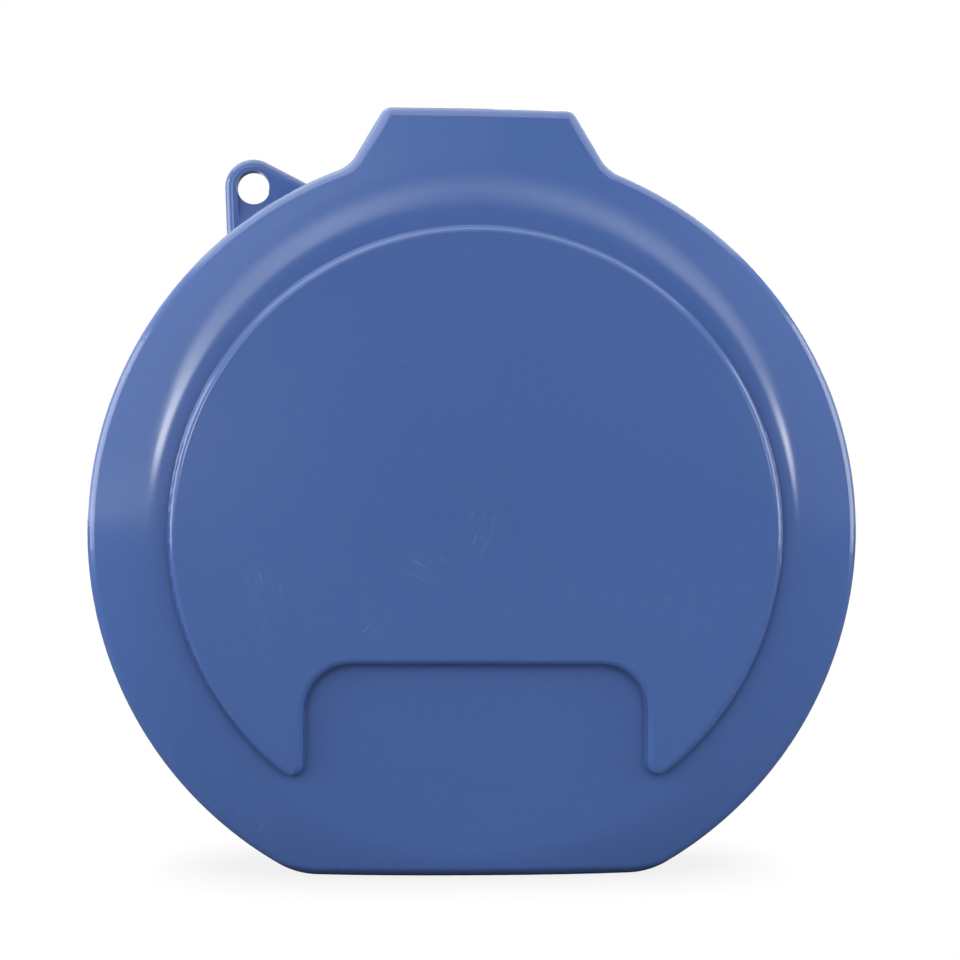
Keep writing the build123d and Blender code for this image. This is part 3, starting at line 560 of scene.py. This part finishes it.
def side_coils(bm):
    """Layers seen from the sides, through the flange holes."""
    rng = random.Random(5)
    for side, side_z in enumerate(SIDE_Z):
        for j in range(SIDE_COILS):
            z = side_z + rng.uniform(-0.05, 0.05)
            points = []
            for k in range(SIDE_SEGMENTS):
                a = TURN * k / SIDE_SEGMENTS
                seed = Vector((math.cos(a) * 2 + j, math.sin(a) * 2, side * 4.0))
                radius = SIDE_COIL_R + SIDE_PITCH * j + 0.10 * noise.noise(seed)
                points.append(spool_point(radius, a, z))
            tube(bm, points, LINE_R * MM, closed=True)


def wound_line():
    bm = bmesh.new()
    winding_body(bm)
    # one tight helix, and a coarse one crossing it
    tube(bm, helix(turns=12, turn_steps=72, phase=0.0, z_ends=(10.62, 21.38), radius=26.30,
                   r_drift=(0.16, 0.5, 0.0, 9.0), z_drift=(0.10, 0.8, 3.1, 0.0)), LINE_R * MM)
    tube(bm, helix(turns=-4, turn_steps=80, phase=1.0, z_ends=(21.30, 10.70), radius=26.50,
                   r_drift=(0.08, 0.7, 5.0, 1.0)), CROSSING_LINE_R * MM)
    side_coils(bm)
    braid = new_object("wound_braid", bm, MATS["line"])
    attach(braid, "spool")
    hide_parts("spool_line")


wound_line()


# ---------------------------------------------------------------- flag (mm, stowed position)
FLAG_X0, FLAG_X1 = 4.7, 88.0       # the low-x edge is the root, the others are free
FLAG_Y0, FLAG_Y1 = -62.0, 8.0
FLAG_COLS, FLAG_ROWS = 112, 92
FLAG_Z = 35.62                     # height of the flat part of the cloth's middle
FLAT_END = 15.0                    # x where the waves begin
CLOTH_HALF = 0.17                  # half thicknesses: the sheet, and what a fold adds
FOLD_HALF = 0.20
HEM, ROOT_BAND = 4.2, 8.6          # widths of the folds at the free edges and the root
FOLD_RAMP = 0.7
ROUNDING = 1.2                     # width over which the free edges thin out
HEM_SEAM, ROOT_SEAM = 3.1, 7.6     # insets of the stitch lines
SEAM_WIDTH, SEAM_DEPTH = 0.9, 0.10
SIDE_SEAM_START = 9.5              # inset from the root of the two seams along x
ROOT_SEAM_INSET = 1.2              # gap at each end of the root's seam
SEAM_PARTS = 200
STITCH_PITCH = 2.6
STITCH_SPAN = (0.12, 0.86)         # part of the pitch that a stitch covers
STITCH_LIFT = (0.26, 0.40, 0.44, 0.40, 0.26)
THREAD_R = 0.13

# waves in the cloth: amount, cycles along x, cycles along y, phase
WAVES = [(1.55, 1.75, 0.18, 0.6), (0.75, -0.7, 0.9, 1.9), (0.55, 3.3, -0.6, 0.0)]


def clamp(value):
    return min(1.0, max(0.0, value))


def flag_z(x, y):
    """Height of the cloth's middle above the ice face."""
    u = max(0.0, (x - FLAT_END) / (FLAG_X1 - FLAT_END))
    v = (y - FLAG_Y0) / (FLAG_Y1 - FLAG_Y0)
    wave = sum(amount * math.sin(TURN * (along * u + across * v) + phase)
               for amount, along, across, phase in WAVES)
    wave += 0.5 * noise.noise(Vector((x * 0.045, y * 0.045, 2.0)))
    return FLAG_Z + u ** 1.15 * wave + 0.35 * u


def flag_edge(x, y):
    """Shifts a point in the sheet's plane: the free edges of a worn flag aren't ruler straight."""
    u = (x - FLAG_X0) / (FLAG_X1 - FLAG_X0)
    middle = (FLAG_Y0 + FLAG_Y1) / 2
    off_middle = abs(y - middle) / ((FLAG_Y1 - FLAG_Y0) / 2)
    inward = 1 if y < middle else -1
    dx = -0.9 * u * (0.5 + 0.5 * math.sin(y * 0.16))
    dx -= 0.5 * u * abs(noise.noise(Vector((3.0, y * 0.1, 0.0))))
    dy = (0.7 * math.sin(x * 0.11) + 0.4 * noise.noise(Vector((x * 0.12, 7.0, 0.0)))) * u
    trim = 0.25 if off_middle > 0.99 else 0.0
    return x + dx, y + inward * (dy * off_middle + trim)


def pucker(x, y):
    return 0.16 * math.sin((x + y) * 1.15)


def half_thickness(from_free, from_root):
    """Half the cloth's thickness, from the distances to its free edges and its root."""
    fold = max(clamp((HEM - from_free) / FOLD_RAMP), clamp((ROOT_BAND - from_root) / FOLD_RAMP))
    half = CLOTH_HALF + FOLD_HALF * fold
    half *= 0.45 + 0.55 * math.sqrt(clamp(from_free / ROUNDING))
    # pulled in along the stitch lines
    for off_seam in (abs(from_free - HEM_SEAM), abs(from_root - ROOT_SEAM)):
        half -= SEAM_DEPTH * max(0.0, 1 - off_seam / SEAM_WIDTH)
    return half


def flag_sheet():
    bm = bmesh.new()
    front, back = [], []
    for i in range(FLAG_COLS + 1):
        front.append([])
        back.append([])
        for j in range(FLAG_ROWS + 1):
            x = FLAG_X0 + (FLAG_X1 - FLAG_X0) * i / FLAG_COLS
            y = FLAG_Y0 + (FLAG_Y1 - FLAG_Y0) * j / FLAG_ROWS
            from_free = min(FLAG_X1 - x, y - FLAG_Y0, FLAG_Y1 - y)
            half = half_thickness(from_free, x - FLAG_X0)
            z = flag_z(x, y) + pucker(x, y) * math.exp(-((from_free - HEM_SEAM) / 2.2) ** 2)
            place = flag_edge(x, y)
            front[i].append(bm.verts.new(flat(*place, z + half)))
            back[i].append(bm.verts.new(flat(*place, z - half)))
    for i in range(FLAG_COLS):
        for j in range(FLAG_ROWS):
            bm.faces.new((front[i][j], front[i + 1][j], front[i + 1][j + 1], front[i][j + 1]))
            bm.faces.new((back[i][j], back[i][j + 1], back[i + 1][j + 1], back[i + 1][j]))
    # the sheet's four narrow sides
    a, b = front, back
    last = FLAG_ROWS
    for i in range(FLAG_COLS):
        bm.faces.new((a[i][0], b[i][0], b[i + 1][0], a[i + 1][0]))
        bm.faces.new((a[i][last], a[i + 1][last], b[i + 1][last], b[i][last]))
    last = FLAG_COLS
    for j in range(FLAG_ROWS):
        bm.faces.new((a[0][j], a[0][j + 1], b[0][j + 1], b[0][j]))
        bm.faces.new((a[last][j], b[last][j], b[last][j + 1], a[last][j + 1]))
    bmesh.ops.recalc_face_normals(bm, faces=bm.faces)
    sheet = new_object("flag_sheet", bm, MATS["flag"])
    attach(sheet, "flag")
    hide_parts("flag_cloth")


def seam_paths():
    def spread(start, length):
        return [start + length * k / SEAM_PARTS for k in range(SEAM_PARTS + 1)]

    x0, x1 = FLAG_X0 + SIDE_SEAM_START, FLAG_X1 - HEM_SEAM
    y0, y1 = FLAG_Y0 + HEM_SEAM, FLAG_Y1 - HEM_SEAM
    root_length = FLAG_Y1 - FLAG_Y0 - 2 * ROOT_SEAM_INSET
    return [
        [(x, y0) for x in spread(x0, x1 - x0)],
        [(x, y1) for x in spread(x0, x1 - x0)],
        [(x1, y) for y in spread(y0, y1 - y0)],
        [(FLAG_X0 + ROOT_SEAM, y) for y in spread(FLAG_Y0 + ROOT_SEAM_INSET, root_length)],
    ]


def point_along(path, part):
    position = part * (len(path) - 1)
    i = min(int(position), len(path) - 2)
    w = position - i
    return [a * (1 - w) + b * w for a, b in zip(path[i], path[i + 1])]


def flag_stitching():
    """Short thread loops along the seams, on both faces."""
    bm = bmesh.new()
    for path in seam_paths():
        total = sum(math.dist(path[k], path[k + 1]) for k in range(len(path) - 1))
        count = int(total / STITCH_PITCH)
        for stitch in range(count):
            start, end = [(stitch + part) / count for part in STITCH_SPAN]
            for face in (1, -1):
                points = []
                for k, lift in enumerate(STITCH_LIFT):
                    x, y = point_along(path, start + (end - start) * k / 4)
                    z = flag_z(x, y) + pucker(x, y) + face * lift
                    points.append(flat(*flag_edge(x, y), z))
                tube(bm, points, THREAD_R * MM, sides=5)
    bmesh.ops.recalc_face_normals(bm, faces=bm.faces)
    stitching = new_object("flag_stitching", bm, MATS["thread"])
    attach(stitching, "flag")


flag_sheet()
flag_stitching()


# ---------------------------------------------------------------- floor and world (m)
def floor_material():
    """White to the camera with a soft contact shadow, quiet grey to every other ray."""
    material = bpy.data.materials.new("pale_floor")
    g = Graph(material)
    occlusion = g.add("AmbientOcclusion", {"Distance": 0.035}, samples=12)["AO"]
    shadow = g.step(occlusion, span=(0.35, 1.0), to=(0.87, 1.0), kind="LINEAR")
    seen = g.add("Emission", {"Color": g.grey(shadow)})[0]
    other = g.add("BsdfDiffuse", {"Color": (0.14, 0.14, 0.15, 1)})[0]
    g.add("OutputMaterial", {0: g.camera_switch(seen, other)})
    return material


def add_floor():
    radius, drop, sides = 4.0, 0.0002, 64
    bm = bmesh.new()
    bm.faces.new([bm.verts.new((radius * math.cos(TURN * k / sides),
                                radius * math.sin(TURN * k / sides), -drop))
                  for k in range(sides)])
    new_object("floor", bm, floor_material(), smooth=False)


def add_world():
    """White to the camera. To other rays, brighter with height, darker on the camera's side
    of the room and brighter to the camera's left."""
    world = bpy.data.worlds.new("studio")
    bpy.context.scene.world = world
    g = Graph(world)
    white = g.add("Background", {0: (1, 1, 1, 1)})[0]
    x, y, z = g.axes(g.add("TexCoord")["Generated"])
    high = g.step(z, span=(-0.30, 0.45), to=(0.08, 0.44))
    front = g.step(y, span=(-0.90, 0.10), to=(0.35, 1.0))
    base_glow = g.times(high, front)
    level = g.step(z, span=(-0.40, -0.10))
    leftward = g.times(g.step(x, span=(-0.02, -0.30), to=(0.0, 1.95)), level,
                       g.step(z, span=(-0.10, 0.13), to=(1.0, 0.42)))
    rightward = g.times(g.step(x, span=(0.30, 0.55), to=(0.0, 0.40)), level)
    glow = g.math("ADD", base_glow, g.math("ADD", leftward, rightward))
    ambient = g.add("Background", {0: g.grey(glow)})[0]
    g.add("OutputWorld", {0: g.camera_switch(white, ambient)})


# ---------------------------------------------------------------- lights and camera (m)
CENTRE = Vector((0.0, -0.0125, 0.1334))
LENS_DISTANCE = 0.65
LENS_OFFSET = Vector((-0.0472, 0.0334))   # lens's place beside and above the case's centre

# hood stations: angle (degrees), inner radius, outer radius, brightness, hardness of the edges
HOOD = [
    (177, 0.330, 0.360, 1.0, 5), (172, 0.330, 0.420, 7.5, 5),
    (166, 0.308, 0.450, 17.5, 5), (159, 0.308, 0.480, 15.5, 5),
    (151, 0.315, 0.525, 11.5, 5), (145, 0.325, 0.56, 9.5, 4),
    (137, 0.325, 0.60, 8.0, 3.5), (115, 0.350, 0.67, 9.0, 2),
    (93, 0.330, 0.78, 6.6, 1.5), (70, 0.340, 0.71, 8.0, 1.8),
    (47, 0.320, 0.61, 8.0, 2.5), (31, 0.295, 0.54, 7.6, 3),
    (23, 0.285, 0.45, 11.5, 4), (17, 0.275, 0.39, 20.0, 5),
    (10, 0.275, 0.345, 14.0, 5), (5, 0.280, 0.310, 1.0, 5),
]
HOOD_PEAK = max(station[3] for station in HOOD)
HOOD_ACROSS = 12                   # faces across the strip
HOOD_ALONG = 8                     # faces between two stations

# area lights: name, place, aim, width, height, power (W)
LIGHTS = [
    ("top_box", (-0.25, -0.35, 1.15), (0, 0, 0.17), 1.1, 0.8, 0.6),
    ("left_box", (-1.15, -0.15, 0.37), (0, 0, 0.15), 0.80, 0.74, 7.6),
    ("right_box", (1.15, -0.14, 0.40), (0, 0, 0.15), 0.68, 0.76, 6.8),
    ("back_box", (0.55, 1.15, 0.75), (0, 0, 0.15), 0.9, 0.7, 6.0),
    ("sky_card", (0.0, 0.10, 1.35), (0.0, 0.10, 0.0), 2.6, 1.9, 27.0),
    ("front_fill", (-0.10, -1.50, 0.48), (0, 0, 0.15), 1.2, 1.0, 3.6),
]


def hood_material():
    material = bpy.data.materials.new("hood")
    g = Graph(material)
    color = g.add("VertexColor", layer_name="glow")[0]
    glow = g.add("Emission", {0: color, "Strength": HOOD_PEAK})[0]
    g.add("OutputMaterial", {0: glow})
    return material


def add_hood():
    """Glowing strip in the lens's plane, drawn round the lens's mirrored place."""
    stations = []
    for here, following in zip(HOOD, HOOD[1:]):
        for k in range(HOOD_ALONG):
            w = k / HOOD_ALONG
            stations.append([a * (1 - w) + b * w for a, b in zip(here, following)])
    stations.append(HOOD[-1])

    bm = bmesh.new()
    layer = bm.loops.layers.color.new("glow")
    y = CENTRE.y - LENS_DISTANCE
    centre_x, centre_z = CENTRE.x - LENS_OFFSET.x, CENTRE.z - LENS_OFFSET.y
    grid = []                      # rows of (vertex, glow)
    for degrees, inner, outer, brightness, hardness in stations:
        angle = math.radians(degrees)
        row = []
        for j in range(HOOD_ACROSS + 1):
            radius = inner + (outer - inner) * j / HOOD_ACROSS
            vert = bm.verts.new((centre_x + radius * math.cos(angle), y,
                                 centre_z + radius * math.sin(angle)))
            edge_fade = min(1.0, 0.15 + hardness * min(j, HOOD_ACROSS - j) / HOOD_ACROSS)
            row.append((vert, brightness / HOOD_PEAK * edge_fade))
        grid.append(row)
    for a, b in zip(grid, grid[1:]):
        for j in range(HOOD_ACROSS):
            corners = (a[j], b[j], b[j + 1], a[j + 1])
            face = bm.faces.new([vert for vert, _ in corners])
            for loop, (_, glow) in zip(face.loops, corners):
                loop[layer] = (glow, glow, glow, 1)
    hood = new_object("hood", bm, hood_material(), smooth=False)
    hood.visible_camera = False
    hood.visible_shadow = False


def add_lights():
    lights = {}
    for name, place, aim, width, height, power in LIGHTS:
        data = bpy.data.lights.new(name, "AREA")
        data.shape = "RECTANGLE"
        data.size = width
        data.size_y = height
        data.energy = power
        light = bpy.data.objects.new(name, data)
        light.location = place
        light.rotation_mode = "QUATERNION"
        light.rotation_quaternion = (Vector(aim) - Vector(place)).to_track_quat("-Z", "Y")
        bpy.context.scene.collection.objects.link(light)
        lights[name] = light
    lights["sky_card"].visible_diffuse = False
    lights["front_fill"].visible_glossy = False


def add_camera():
    data = bpy.data.cameras.new("camera")
    data.lens = 62.70
    data.sensor_width = 36.0
    data.clip_start = 0.02
    camera = bpy.data.objects.new("camera", data)
    bpy.context.scene.collection.objects.link(camera)
    target = Vector((0.0011, -0.0125, 0.1538))
    camera.location = (target.x - 0.0368, target.y - 0.6489, target.z + 0.0129)
    look = (target - camera.location).to_track_quat("-Z", "Y")
    roll = Matrix.Rotation(math.radians(0.50), 4, "Z").to_quaternion()
    camera.rotation_mode = "QUATERNION"
    camera.rotation_quaternion = look @ roll
    bpy.context.scene.camera = camera


add_floor()
add_world()
add_hood()
add_lights()
add_camera()
bpy.context.scene.view_settings.view_transform = "Standard"
